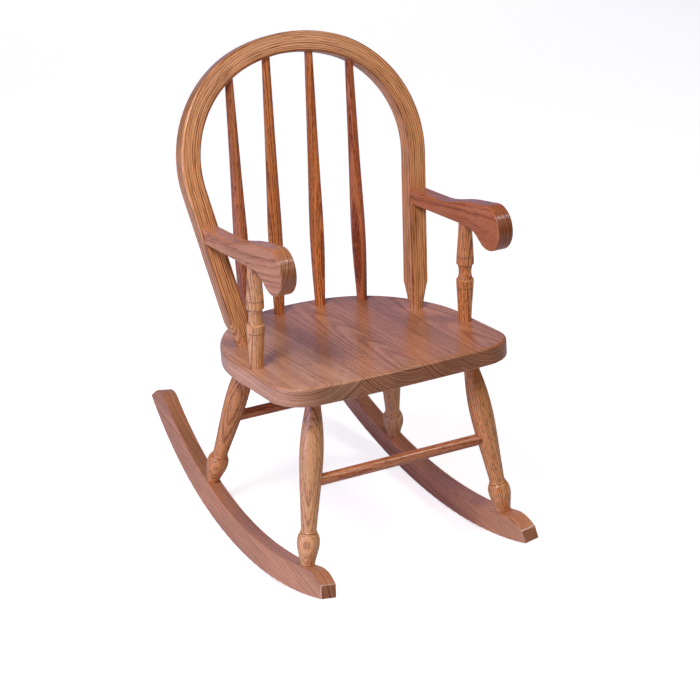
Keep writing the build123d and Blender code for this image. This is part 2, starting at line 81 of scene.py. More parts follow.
def long_axis(node):
    """A straight piece's axis: the point at its lower, or more negative, end and its direction."""
    centres, _, areas = faces_of(node)
    middle = (centres * areas[:, None]).sum(0) / areas.sum()
    spread = (centres - middle) * np.sqrt(areas)[:, None]
    along = np.linalg.eigh(spread.T @ spread)[1][:, 2]
    if along[np.argmax(np.abs(along))] < 0:
        along = -along
    start = middle + along * ((centres - middle) @ along).min()
    return Vector(start), Vector(along)


def flat_face(node, towards, within=0.9):
    """Centre and normal of a node's widest flat face that looks roughly towards a direction.

    within is the cosine of the widest angle that a face may turn away from it.
    """
    centres, normals, areas = faces_of(node)
    facing = normals @ np.array(towards) > within
    centres, normals, areas = centres[facing], normals[facing], areas[facing]
    which = np.unique(np.round(normals, 3), axis=0, return_inverse=True)[1].reshape(-1)
    widest = which == np.bincount(which, areas).argmax()
    weights = areas[widest][:, None]
    centre = (centres[widest] * weights).sum(0) / weights.sum()
    normal = (normals[widest] * weights).sum(0)
    return Vector(centre), Vector(normal).normalized()


SEAT_TOP, SEAT_UP = flat_face("seat_board_2", (0, 0, 1))
SEAT_BACK = SEAT_UP.cross(ACROSS).normalized()


def on_seat(x, height):
    """A point over the seat's top face, at a distance from the chair's middle plane."""
    return Vector((x, SEAT_TOP.y, SEAT_TOP.z)) + SEAT_UP * height


def direction(azimuth, elevation):
    """Direction away from the chair, at an angle from straight in front and one up from level."""
    level = math.cos(elevation)
    return Vector((math.sin(azimuth) * level, -math.cos(azimuth) * level, math.sin(elevation)))


# ------------------------------------------------------------------ settings
def length(name, description, default_mm):
    """A size, given in mm and kept in metres."""
    return FloatProperty(
        name=name, description=description, default=default_mm * MM, unit="LENGTH", precision=5
    )


def bearing(name, description, degrees):
    """An angle, given in degrees."""
    return FloatProperty(
        name=name, description=description, default=math.radians(degrees), subtype="ANGLE"
    )


def colour(name, description, code):
    """A colour, given as an sRGB hex value."""
    return FloatVectorProperty(
        name=name, description=description, default=from_hex(code),
        subtype="COLOR", size=3, min=0, max=1,
    )


def share(name, description, default):
    """A share from 0 to 1."""
    return FloatProperty(
        name=name, description=description, default=default, min=0, max=1, subtype="FACTOR"
    )


class OakSettings(bpy.types.PropertyGroup):
    """Stain, grain and lacquer that every oak piece shares."""

    late_wood: colour(
        "Late wood", "Stained colour of the smooth outer part of each year ring", "#E9A469"
    )
    board_wood: colour(
        "Late wood of boards", "The same, on the pinker boards of the seat, arms and rockers",
        "#D8966C",
    )
    early_wood: colour(
        "Early wood", "Stained colour of the open, porous start of each year ring", "#A64E1E"
    )
    pore: colour("Pores", "Stain held in the open pores", "#70300F")
    # painted highlight: pale colour laid on the rockers' end-face rims that face up and to the
    # left, towards the lights
    painted_highlight: colour(
        "Edge highlight", "Painted highlight: pale wood on the end-face rims that face the lights",
        "#F3CDB0",
    )
    burn: colour("Burned ring", "Char of the rings burned into the turnings", "#5C2C14")
    # an oak's pores are about 0.3 mm wide and a few mm long where they are cut lengthwise: too
    # fine to show, so their streaks are drawn coarser
    pore_width: length("Pore width", "Width of the streaks that the pores make", 0.75)
    pore_length: length("Pore length", "Length of the streaks that the pores make", 9.0)
    end_ease: length("End easing", "Width of the easing round the rockers' end faces", 1.7)
    burn_width: length("Burned ring width", "Height of a burned ring on a turning", 1.0)
    relief: length("Grain relief", "How deep the grain shows through the lacquer", 0.10)
    roughness: share("Wood roughness", "Roughness of the sealed wood", 0.42)
    lacquer: share("Lacquer", "Weight of the satin lacquer", 0.75)
    lacquer_roughness: share("Lacquer roughness", "Roughness of the satin lacquer", 0.14)


class HoopSettings(bpy.types.PropertyGroup):
    """The bent hoop's section and bends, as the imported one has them."""

    width: length("Width", "Width of the hoop's front face", 29.0)
    thickness: length("Thickness", "Depth of the hoop from front to back", 25.5)
    edge_round: length("Edge rounding", "Radius of the hoop's long edges", 3.6)
    top_radius: length("Top bend", "Radius of the hoop's middle line over its top", 216.4)
    side_radius: length("Side bend", "Radius of the hoop's middle line round its sides", 157.2)
    top_angle: bearing("Top bend angle", "Half the angle of the top bend", 18.3)
    splay: bearing("Leg splay", "How far the hoop's legs lean in towards their feet", 9.0)
    tenon_radius: length("Tenon radius", "Radius of the round tenon at each foot", 9.8)
    tenon_length: length("Tenon length", "Length of the tenon in the seat", 16.6)
    taper_start: length("Taper start", "Where each foot starts to widen above the seat", 3.0)
    taper_length: length("Taper length", "Length of each foot's taper", 35.0)
    taper_radius: length("Taper radius", "Radius at the top of each foot's taper", 17.0)
    around: IntProperty(
        name="Points around", description="Points round the hoop's section", default=72, min=12
    )
    step: length("Step", "Distance between sections along the hoop", 2.5)


class StudioSettings(bpy.types.PropertyGroup):
    """Floor, lights and camera."""

    floor_colour: colour("Floor", "Pale studio floor", "#F6F6F7")
    floor_glow: share("Floor glow", "How far the floor is lit up to white for the eye", 0.78)
    wall_colour: colour("Walls", "Lavender white of the studio's walls", "#FFEDFF")
    wall_light: FloatProperty(
        name="Wall light", description="Brightness of the walls", default=0.03, min=0
    )
    azimuth: bearing("Camera azimuth", "Camera's angle round the chair, from in front", -28.158)
    elevation: bearing("Camera elevation", "Camera's angle above the horizon", 25.079)
    roll: bearing("Camera roll", "Camera's turn about its line of sight", -0.018)
    place: FloatVectorProperty(
        name="Camera place", description="Where the camera stands", size=3,
        default=(-1.2349, -2.3721, 1.5108), subtype="TRANSLATION", unit="LENGTH",
    )
    lens: FloatProperty(
        name="Lens", description="Focal length in mm on a 36 mm sensor", default=105.16,
        unit="CAMERA",
    )


# ------------------------------------------------------------------ shader helpers
def add(tree, kind, links=None, **settings):
    """Adds a node with its settings; links gives each input a value or the socket that feeds it."""
    node = tree.nodes.new(kind)
    for name, value in settings.items():
        setattr(node, name, value)
    for socket, source in (links or {}).items():
        target = node.inputs[socket]
        if isinstance(source, bpy.types.NodeSocket):
            tree.links.new(source, target)
        else:
            target.default_value = source
    return node


# ------------------------------------------------------------------ the figure of oak
# darkness through one year: a sudden start of open pores that fades into smooth late wood
YEAR = ((0.0, 0.75), (0.07, 1.0), (0.3, 0.72), (0.5, 0.22), (0.72, 0.0), (0.92, 0.08), (1.0, 0.75))
# how the grain wanders: size of a bend across the grain and along it, and its depth, all in mm
BENDS = ((75.0, 330.0, 9.0), (11.0, 90.0, 1.1), (2.2, 26.0, 0.35))
# spells of good and bad years: how many there are to a ring, and how many rings each one shifts
SPELLS, SPELL_SHIFT = 0.45, 1.6
# early wood of the weakest year, against the strongest
WEAKEST_YEAR = 0.45
# how much closer together the pores are in early wood
CROWDING = 0.2
# levels of the noise where streaks start and where they are full
PORE_LEVELS, SOFT_LEVELS = (0.6, 0.7), (0.3, 0.7)
# width and length in mm of the fibres, drawn coarser than real ones so that they show, and of
# the patches that took more or less stain
FIBRE, PATCH = (1.5, 55.0), (38.0, 210.0)


def oak_figure():
    """Node group: the figure of ring-porous oak, from places in mm round the tree's pith."""
    tree = bpy.data.node_groups.new("oak_figure", "ShaderNodeTree")
    face = tree.interface
    face.new_socket("Place", in_out="INPUT", socket_type="NodeSocketVector")
    for name in ("Ring", "Taper", "Pore width", "Pore length"):
        face.new_socket(name, in_out="INPUT", socket_type="NodeSocketFloat")
    for name in ("Early wood", "Pores", "Fibre", "Tone"):
        face.new_socket(name, in_out="OUTPUT", socket_type="NodeSocketFloat")
    given = add(tree, "NodeGroupInput").outputs

    def streaks(width, stretch, levels, crowd=None, detail=2.0):
        """Noise streaks along the grain, from 0 to 1, denser where crowd is high."""
        scale = add(tree, "ShaderNodeCombineXYZ", {"X": width, "Y": width, "Z": stretch})
        scaled = add(
            tree, "ShaderNodeVectorMath", {0: given["Place"], 1: scale.outputs[0]},
            operation="DIVIDE",
        )
        value = add(
            tree, "ShaderNodeTexNoise",
            {"Vector": scaled.outputs[0], "Scale": 1.0, "Detail": detail},
        ).outputs["Fac"]
        if crowd is not None:
            value = add(
                tree, "ShaderNodeMath", {0: crowd, 1: CROWDING, 2: value},
                operation="MULTIPLY_ADD",
            ).outputs[0]
        return add(
            tree, "ShaderNodeMapRange",
            {"Value": value, "From Min": levels[0], "From Max": levels[1]},
        ).outputs["Result"]

    place = given["Place"]
    for size, stretch, amount in BENDS:
        scaled = add(
            tree, "ShaderNodeVectorMath",
            {0: given["Place"], 1: (1 / size, 1 / size, 1 / stretch)}, operation="MULTIPLY",
        )
        noise = add(
            tree, "ShaderNodeTexNoise", {"Vector": scaled.outputs[0], "Scale": 1.0, "Detail": 1.0}
        )
        centred = add(
            tree, "ShaderNodeVectorMath", {0: noise.outputs["Color"], 1: (0.5, 0.5, 0.5)},
            operation="SUBTRACT",
        )
        place = add(
            tree, "ShaderNodeVectorMath", {0: centred.outputs[0], 1: (amount,) * 3, 2: place},
            operation="MULTIPLY_ADD",
        ).outputs[0]

    # a tree tapers, so its rings are cones round the pith
    apart = add(tree, "ShaderNodeSeparateXYZ", {0: place}).outputs
    level = add(tree, "ShaderNodeCombineXYZ", {"X": apart["X"], "Y": apart["Y"]}).outputs[0]
    radius = add(tree, "ShaderNodeVectorMath", {0: level}, operation="LENGTH").outputs["Value"]
    radius = add(
        tree, "ShaderNodeMath", {0: apart["Z"], 1: given["Taper"], 2: radius},
        operation="MULTIPLY_ADD",
    ).outputs[0]
    years = add(
        tree, "ShaderNodeMath", {0: radius, 1: given["Ring"]}, operation="DIVIDE"
    ).outputs[0]
    uneven = add(
        tree, "ShaderNodeTexNoise", {"W": years, "Scale": SPELLS, "Detail": 0.0},
        noise_dimensions="1D",
    ).outputs["Fac"]
    years = add(
        tree, "ShaderNodeMath", {0: uneven, 1: SPELL_SHIFT, 2: years}, operation="MULTIPLY_ADD"
    ).outputs[0]

    part = add(tree, "ShaderNodeMath", {0: years}, operation="FRACT").outputs[0]
    ramp = add(tree, "ShaderNodeValToRGB", {"Fac": part})
    while len(ramp.color_ramp.elements) < len(YEAR):
        ramp.color_ramp.elements.new(0.5)
    for element, (at, dark) in zip(ramp.color_ramp.elements, YEAR):
        element.position = at
        element.color = (dark, dark, dark, 1)
    year = add(tree, "ShaderNodeMath", {0: years}, operation="FLOOR").outputs[0]
    weight = add(tree, "ShaderNodeTexWhiteNoise", {"W": year}, noise_dimensions="1D")
    weight = add(
        tree, "ShaderNodeMapRange",
        {"Value": weight.outputs["Value"], "To Min": WEAKEST_YEAR, "To Max": 1.0},
    ).outputs["Result"]
    early = add(
        tree, "ShaderNodeMath", {0: ramp.outputs["Color"], 1: weight}, operation="MULTIPLY"
    ).outputs[0]

    out = {
        "Early wood": early,
        "Pores": streaks(given["Pore width"], given["Pore length"], PORE_LEVELS, crowd=early),
        "Fibre": streaks(*FIBRE, SOFT_LEVELS),
        "Tone": streaks(*PATCH, SOFT_LEVELS, detail=1.0),
    }
    add(tree, "NodeGroupOutput", out)
    return tree


def grain_place(start, along, outward, pith_mm):
    """Makes places in mm round the tree's pith, for a block with its grain along one direction."""
    along = along.normalized()
    outward = (outward - along * outward.dot(along)).normalized()
    turn = Matrix((outward, along.cross(outward), along))
    shift = turn @ start * -1 / MM + Vector((pith_mm, 0, 0))

    def place(tree):
        given = add(tree, "ShaderNodeTexCoord").outputs["Object"]
        return add(
            tree, "ShaderNodeMapping",
            {
                "Vector": given, "Location": shift, "Rotation": turn.to_euler(),
                "Scale": (1 / MM,) * 3,
            },
        ).outputs[0]

    return place


# ------------------------------------------------------------------ materials
# how much the fibres and the stain's patches darken and brighten the wood
SHADES = (("Fibre", 0.88, 1.16), ("Tone", 0.88, 1.12))
# how squarely a face crosses the grain before it is end grain, as a squared cosine, how strong
# full end grain's rings are, and how bright its wood, which drinks more stain, stays
END_FROM, END_RINGS, END_BRIGHT = 0.15, 1.15, 0.58
# a burned ring's half width where it is full and where it has faded, as shares of its width, and
# its strength
BURN_CORE, BURN_EDGE, BURN_STRENGTH = 0.3, 0.9, 0.6
# how much rougher the open pores are, and how deep early wood lies against them
PORE_ROUGH, EARLY_DEPTH = 0.18, 0.45
# how strongly the grain's relief shows in the wood and in the lacquer over it
WOOD_BUMP, COAT_BUMP = 0.6, 0.8


def lacquered_oak(
    name, place, ring_mm, taper=0.0, depth=0.7, pores=0.8, pore_mm=None, stain=1.0,
    burns=(), end_of=None, board=False, painted_highlight=False,
):
    """Red oak, stained and sprayed with satin lacquer: a warm open grain under a soft gloss.

    place makes the coordinates round the pith, and taper is the slope of the rings to it.  depth
    and pores are the strength of the year rings and of the pores, pore_mm is the length of the
    pores' streaks, and stain is how much stain the piece took.  burns lists heights in metres
    along an axis, as (start, axis, height).  end_of is the grain's direction, where end grain
    drinks more stain.  board asks for the pinker wood of the boards, and painted_highlight for a
    painted highlight: paler wood where the mesh marks it.
    """
    oak = bpy.context.scene.rocking_chair_oak
    material = bpy.data.materials.new(name)
    material.use_nodes = True
    tree = material.node_tree
    tree.nodes.clear()
    figure = add(
        tree, "ShaderNodeGroup",
        {
            "Place": place(tree), "Ring": ring_mm, "Taper": taper,
            "Pore width": oak.pore_width / MM, "Pore length": pore_mm or oak.pore_length / MM,
        },
        node_tree=bpy.data.node_groups.get("oak_figure") or oak_figure(),
    ).outputs

    shades = [
        add(
            tree, "ShaderNodeMapRange", {"Value": figure[output], "To Min": dark, "To Max": bright}
        ).outputs["Result"]
        for output, dark, bright in SHADES
    ]
    if end_of is not None:
        normal = add(tree, "ShaderNodeTexCoord").outputs["Normal"]
        facing = add(
            tree, "ShaderNodeVectorMath", {0: normal, 1: end_of.normalized()},
            operation="DOT_PRODUCT",
        ).outputs["Value"]
        facing = add(
            tree, "ShaderNodeMath", {0: facing, 1: facing}, operation="MULTIPLY"
        ).outputs[0]
        depth, soaked = (
            add(
                tree, "ShaderNodeMapRange",
                {"Value": facing, "From Min": END_FROM, "To Min": side, "To Max": end},
            ).outputs["Result"]
            for side, end in ((depth, END_RINGS), (1.0, END_BRIGHT))
        )
        shades.append(soaked)
    shade = shades.pop(0)
    for each in shades:
        shade = add(tree, "ShaderNodeMath", {0: shade, 1: each}, operation="MULTIPLY").outputs[0]

    wood = (*(oak.board_wood if board else oak.late_wood), 1)
    layers = (("Early wood", depth, oak.early_wood), ("Pores", pores, oak.pore))
    for output, strength, tint in layers:
        cover = add(
            tree, "ShaderNodeMath", {0: figure[output], 1: strength}, operation="MULTIPLY"
        ).outputs[0]
        wood = add(
            tree, "ShaderNodeMix", {"Factor": cover, 6: wood, 7: (*tint, 1)}, data_type="RGBA"
        ).outputs[2]
    wood = add(tree, "ShaderNodeGamma", {"Color": wood, "Gamma": stain}).outputs[0]
    wood = add(
        tree, "ShaderNodeVectorMath", {0: wood, "Scale": shade}, operation="SCALE"
    ).outputs[0]

    marks = []
    # painted highlight on the rims that the mesh marks
    if painted_highlight:
        mark = add(tree, "ShaderNodeAttribute", attribute_name="painted_highlight").outputs["Fac"]
        marks.append((mark, oak.painted_highlight))
    for start, axis, height in burns:
        given = add(tree, "ShaderNodeTexCoord").outputs["Object"]
        level = add(
            tree, "ShaderNodeVectorMath", {0: given, 1: axis}, operation="DOT_PRODUCT"
        ).outputs["Value"]
        off = add(
            tree, "ShaderNodeMath", {0: level, 1: start.dot(axis) + height}, operation="SUBTRACT"
        ).outputs[0]
        off = add(tree, "ShaderNodeMath", {0: off}, operation="ABSOLUTE").outputs[0]
        char = add(
            tree, "ShaderNodeMapRange",
            {
                "Value": off, "From Min": BURN_CORE * oak.burn_width,
                "From Max": BURN_EDGE * oak.burn_width, "To Min": BURN_STRENGTH, "To Max": 0.0,
            },
        ).outputs["Result"]
        marks.append((char, oak.burn))
    for mark, tint in marks:
        wood = add(
            tree, "ShaderNodeMix", {"Factor": mark, 6: wood, 7: (*tint, 1)}, data_type="RGBA"
        ).outputs[2]

    rough = add(
        tree, "ShaderNodeMath", {0: figure["Pores"], 1: PORE_ROUGH, 2: oak.roughness},
        operation="MULTIPLY_ADD",
    ).outputs[0]
    sunk = add(
        tree, "ShaderNodeMath", {0: figure["Early wood"], 1: EARLY_DEPTH, 2: figure["Pores"]},
        operation="MULTIPLY_ADD",
    ).outputs[0]
    wood_bump, coat_bump = (
        add(
            tree, "ShaderNodeBump", {"Strength": strength, "Distance": oak.relief, "Height": sunk},
            invert=True,
        ).outputs[0]
        for strength in (WOOD_BUMP, COAT_BUMP)
    )
    shader = add(
        tree, "ShaderNodeBsdfPrincipled",
        {
            "Base Color": wood,
            "Roughness": rough,
            "Specular IOR Level": 0.2,
            "Coat Weight": oak.lacquer,
            "Coat Roughness": oak.lacquer_roughness,
            "Coat IOR": 1.5,
            "Normal": wood_bump,
            "Coat Normal": coat_bump,
        },
    )
    add(tree, "ShaderNodeOutputMaterial", {"Surface": shader.outputs[0]})
    return material


def dark_steel(name):
    """Wire nail steel, darkened in the oak: a small dull dark dot."""
    material = bpy.data.materials.new(name)
    material.use_nodes = True
    shader = material.node_tree.nodes["Principled BSDF"]
    shader.inputs["Base Color"].default_value = (*from_hex("#4B423C"), 1)
    shader.inputs["Metallic"].default_value = 1.0
    shader.inputs["Roughness"].default_value = 0.45
    return material


def white_floor(name, studio):
    """Matt white paint: a plain floor that holds a faint shadow and no reflection."""
    material = bpy.data.materials.new(name)
    material.use_nodes = True
    tree = material.node_tree
    shader = tree.nodes["Principled BSDF"]
    shader.inputs["Base Color"].default_value = (*studio.floor_colour, 1)
    shader.inputs["Roughness"].default_value = 0.9
    shader.inputs["Specular IOR Level"].default_value = 0.1
    shader.inputs["Emission Color"].default_value = (1, 1, 1, 1)
    # the floor is lit up to white for the eye, and stays a plain matt floor to the chair
    seen = add(tree, "ShaderNodeLightPath").outputs["Is Camera Ray"]
    glow = add(
        tree, "ShaderNodeMath", {0: seen, 1: studio.floor_glow}, operation="MULTIPLY"
    ).outputs[0]
    tree.links.new(glow, shader.inputs["Emission Strength"])
    return material


def dress(node, material):
    """Gives a CAD node its finish."""
    for held in NODES[node].material_slots:
        held.material = material


# ------------------------------------------------------------------ operators
class CHAIR_OT_seat(bpy.types.Operator):
    """Gives each glued-up seat board its own oak"""

    bl_idname = "chair.seat"
    bl_label = "Seat boards"

    # pith's distance from the chair's middle and over the seat in mm, ring width in mm, slope of
    # the grain, and how much stain the board took
    boards = {
        "seat_board_1": (-150.0, 80.0, 3.6, 0.012, 0.84),
        "seat_board_2": (8.0, 52.0, 3.6, 0.035, 1.0),
        "seat_board_3": (92.0, 42.0, 2.3, 0.020, 1.08),
        "seat_board_4": (140.0, 55.0, 3.2, 0.035, 1.06),
    }

    def execute(self, context):
        for node, (x, height, ring, slope, stain) in self.boards.items():
            middle = sum(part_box(node), Vector()) / 2
            start = on_seat(middle.x, 0)
            outward = start - on_seat(x * MM, height * MM)
            along = SEAT_BACK + SEAT_UP * slope
            distance = (outward - along * outward.dot(along) / along.length_squared).length
            place = grain_place(start, along, outward, distance / MM)
            oak = lacquered_oak(
                "planed_red_oak_" + node, place, ring, depth=0.5, pores=0.4, pore_mm=18.0,
                stain=stain, end_of=SEAT_BACK, board=True,
            )
            dress(node, oak)
        return {"FINISHED"}


class CHAIR_OT_hoop(bpy.types.Operator):
    """Bends the hoop, with its grain running round the bend"""

    bl_idname = "chair.hoop"
    bl_label = "Hoop"

    # roughly where the hoop's front face looks
    front = (0, -0.94, 0.33)
    # the section's middle from the pith in mm, and how far the rings are turned in the section
    from_pith = (150, 12, 0)
    ring_turn = math.radians(36)

    def half_path(self, hoop, run):
        """Sections from the top round to the left foot, each as its distance from the top and
        from the foot, its place across and down from the top, and its heading."""
        inner = hoop.top_radius - hoop.side_radius
        centre = (
            inner * math.sin(hoop.top_angle),
            hoop.top_radius - inner * math.cos(hoop.top_angle),
        )
        top_length = hoop.top_radius * hoop.top_angle
        turn_end = math.pi / 2 + hoop.splay
        side_length = hoop.side_radius * (turn_end - hoop.top_angle)
        bend_end = (
            centre[0] + hoop.side_radius * math.sin(turn_end),
            centre[1] - hoop.side_radius * math.cos(turn_end),
        )
        total = top_length + side_length + run(bend_end, turn_end)
        count = round(total / hoop.step)
        for index in range(count + 1):
            at = total * index / count
            if at <= top_length:
                angle = at / hoop.top_radius
                x = hoop.top_radius * math.sin(angle)
                down = hoop.top_radius * (1 - math.cos(angle))
            elif at <= top_length + side_length:
                angle = hoop.top_angle + (at - top_length) / hoop.side_radius
                x = centre[0] + hoop.side_radius * math.sin(angle)
                down = centre[1] - hoop.side_radius * math.cos(angle)
            else:
                angle = turn_end
                rest = at - top_length - side_length
                x = bend_end[0] + rest * math.cos(turn_end)
                down = bend_end[1] + rest * math.sin(turn_end)
            yield at, total - at, x, down, angle

    def execute(self, context):
        hoop = context.scene.rocking_chair_hoop
        face, forward = flat_face("hoop", self.front)
        down = forward.cross(ACROSS).normalized()
        if down.z > 0:
            down = -down
        # slide the middle plane's origin to the top of the hoop's middle line, which is the
        # section's reach upwards below the highest point
        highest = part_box("hoop")[1].z
        middle = face - forward * hoop.thickness / 2
        crown = (
            (hoop.width / 2 - hoop.edge_round) * -down.z
            + (hoop.thickness / 2 - hoop.edge_round) * abs(forward.z)
            + hoop.edge_round
        )
        top = middle + down * ((highest - crown - middle.z) / down.z)
        top.x = 0

        def leg_run(bend_end, turn_end):
            """Length of the straight leg from the bend's end to the tenon's end."""
            start = top + ACROSS * bend_end[0] + down * bend_end[1]
            heading = ACROSS * math.cos(turn_end) + down * math.sin(turn_end)
            to_seat = (SEAT_TOP - start).dot(SEAT_UP) / heading.dot(SEAT_UP)
            return to_seat + hoop.tenon_length

        half = list(self.half_path(hoop, leg_run))
        other = [(-at, left, -x, fall, -angle) for at, left, x, fall, angle in half[:0:-1]]
        mesh = bmesh.new()
        grain = mesh.verts.layers.float_vector.new("bent_grain")
        rings = []
        for at, left, x, fall, angle in other + half:
            centre = top + ACROSS * x + down * fall
            outward = ACROSS * math.sin(angle) - down * math.cos(angle)
            foot = self.foot_reach(hoop, left)
            ring = []
            for index in range(hoop.around):
                turn = 2 * math.pi * index / hoop.around
                size = min(self.section_reach(hoop, turn), foot)
                out, back = size * math.cos(turn), size * math.sin(turn)
                vertex = mesh.verts.new(centre + outward * out - forward * back)
                vertex[grain] = Vector((out, back, at)) / MM
                ring.append(vertex)
            rings.append(ring)
        for ring, following in zip(rings[:-1], rings[1:]):
            for index in range(hoop.around):
                after = (index + 1) % hoop.around
                mesh.faces.new((ring[index], ring[after], following[after], following[index]))
        mesh.faces.new(rings[0][::-1])
        mesh.faces.new(rings[-1])
        bmesh.ops.recalc_face_normals(mesh, faces=mesh.faces)
        for each in mesh.faces:
            each.smooth = True
        data = bpy.data.meshes.new("bent_hoop")
        mesh.to_mesh(data)
        mesh.free()
        data.materials.append(self.material())
        piece = bpy.data.objects.new("bent_hoop", data)
        context.scene.collection.objects.link(piece)
        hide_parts("hoop")
        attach(piece, ROOT)
        return {"FINISHED"}

    @staticmethod
    def foot_reach(hoop, left):
        """How far the coned foot reaches, at a distance from the hoop's end."""
        height = left - hoop.tenon_length - hoop.taper_start
        if height > hoop.taper_length:
            return hoop.width  # above the cone the section is whole
        rise = max(height / hoop.taper_length, 0.0)
        return hoop.tenon_radius + (hoop.taper_radius - hoop.tenon_radius) * rise

    @staticmethod
    def section_reach(hoop, turn):
        """Distance from the middle of the hoop's section to its rounded outline."""
        tiny = 1e-9  # keeps the division safe where the ray runs along a side
        across, back = abs(math.cos(turn)), abs(math.sin(turn))
        half_w, half_t, round_r = hoop.width / 2, hoop.thickness / 2, hoop.edge_round
        flat = min(half_w / max(across, tiny), half_t / max(back, tiny))
        x, y = flat * across, flat * back
        if x <= half_w - round_r or y <= half_t - round_r:
            return flat
        # the ray meets the corner's arc
        cx, cy = half_w - round_r, half_t - round_r
        along = across * cx + back * cy
        return along + math.sqrt(along**2 - cx**2 - cy**2 + round_r**2)

    @classmethod
    def material(cls):
        """Oak whose places come from the mesh, so that its grain follows the bend."""

        def place(tree):
            bent = add(tree, "ShaderNodeAttribute", attribute_name="bent_grain").outputs["Vector"]
            turned = Matrix.Rotation(cls.ring_turn, 3, "Z").to_euler()
            return add(
                tree, "ShaderNodeMapping",
                {"Vector": bent, "Location": cls.from_pith, "Rotation": turned},
            ).outputs[0]

        # riven straight for bending, so its pores run on as streaks longer than on the boards
        return lacquered_oak(
            "steam_bent_red_oak_hoop", place, 2.0, taper=0.0015, depth=0.95, pores=0.9,
            pore_mm=34.0, stain=0.92,
        )


class CHAIR_OT_turnings(bpy.types.Operator):
    """Gives the spindles, posts, legs and stretchers their turned oak"""

    bl_idname = "chair.turnings"
    bl_label = "Turnings"

    # direction from the pith in degrees round the chair from the front, pith's distance in mm,
    # ring width in mm, slope of the grain, how much stain it took (on leg_rear_left partly painted
    # light: a paler stain where the leg sits in shade), whether it is as pink as the boards, and
    # heights of burned rings above the lower end in mm
    turnings = {
        "spindle_1": (40, 60, 2.3, 0.010, 1.25, True, ()),
        "spindle_2": (-75, 48, 2.6, 0.014, 1.34, False, ()),
        "spindle_3": (20, 55, 2.2, 0.012, 1.36, False, ()),
        "spindle_4": (-50, 70, 2.5, 0.009, 1.4, True, ()),
        "arm_post_right": (-80, 40, 2.0, 0.010, 0.86, False, (68.6, 115.6)),
        "arm_post_left": (35, 45, 2.2, 0.012, 1.1, False, (68.6, 115.6)),
        "leg_front_right": (-30, 38, 1.9, 0.012, 0.84, False, (61.1,)),
        "leg_front_left": (70, 42, 1.8, 0.012, 1.04, False, (61.1,)),
        "leg_rear_right": (-26, 34, 2.2, 0.014, 1.08, False, (61.1,)),
        # painted light: this leg's paler stain stands in for light where it sits in shade
        "leg_rear_left": (50, 45, 1.9, 0.010, 0.78, False, (61.1,)),
        "stretcher_front": (0, 40, 2.2, 0.012, 1.2, True, ()),
        "stretcher_rear": (10, 45, 2.3, 0.010, 1.1, True, ()),
    }

    def execute(self, context):
        for node, (facing, pith, ring, slope, stain, pink, burns) in self.turnings.items():
            start, along = long_axis(node)
            outward = direction(math.radians(facing), 0)
            place = grain_place(start, along + outward * slope, outward, pith)
            rings = [(start, along, height * MM) for height in burns]
            oak = lacquered_oak(
                "turned_red_oak_" + node, place, ring, stain=stain, burns=rings, board=pink
            )
            dress(node, oak)
        return {"FINISHED"}


class CHAIR_OT_arms(bpy.types.Operator):
    """Gives the sawn arms their oak"""

    bl_idname = "chair.arms"
    bl_label = "Arms"

    # slope of the grain, tilt of the direction from the pith, and how much stain the arm took
    arms = {"arm_left": (0.02, 0.15, 1.4), "arm_right": (0.14, -0.15, 1.08)}
    pith_mm = 130.0

    def execute(self, context):
        for arm, (slope, tilt, stain) in self.arms.items():
            middle = sum(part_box(arm), Vector()) / 2
            along = SEAT_BACK - SEAT_UP * slope
            place = grain_place(middle, along, ACROSS + SEAT_UP * tilt, self.pith_mm)
            oak = lacquered_oak(
                "sawn_red_oak_" + arm, place, 2.7, depth=0.4, pores=0.5, pore_mm=24.0,
                stain=stain, end_of=SEAT_BACK, board=True,
            )
            dress(arm, oak)
        return {"FINISHED"}


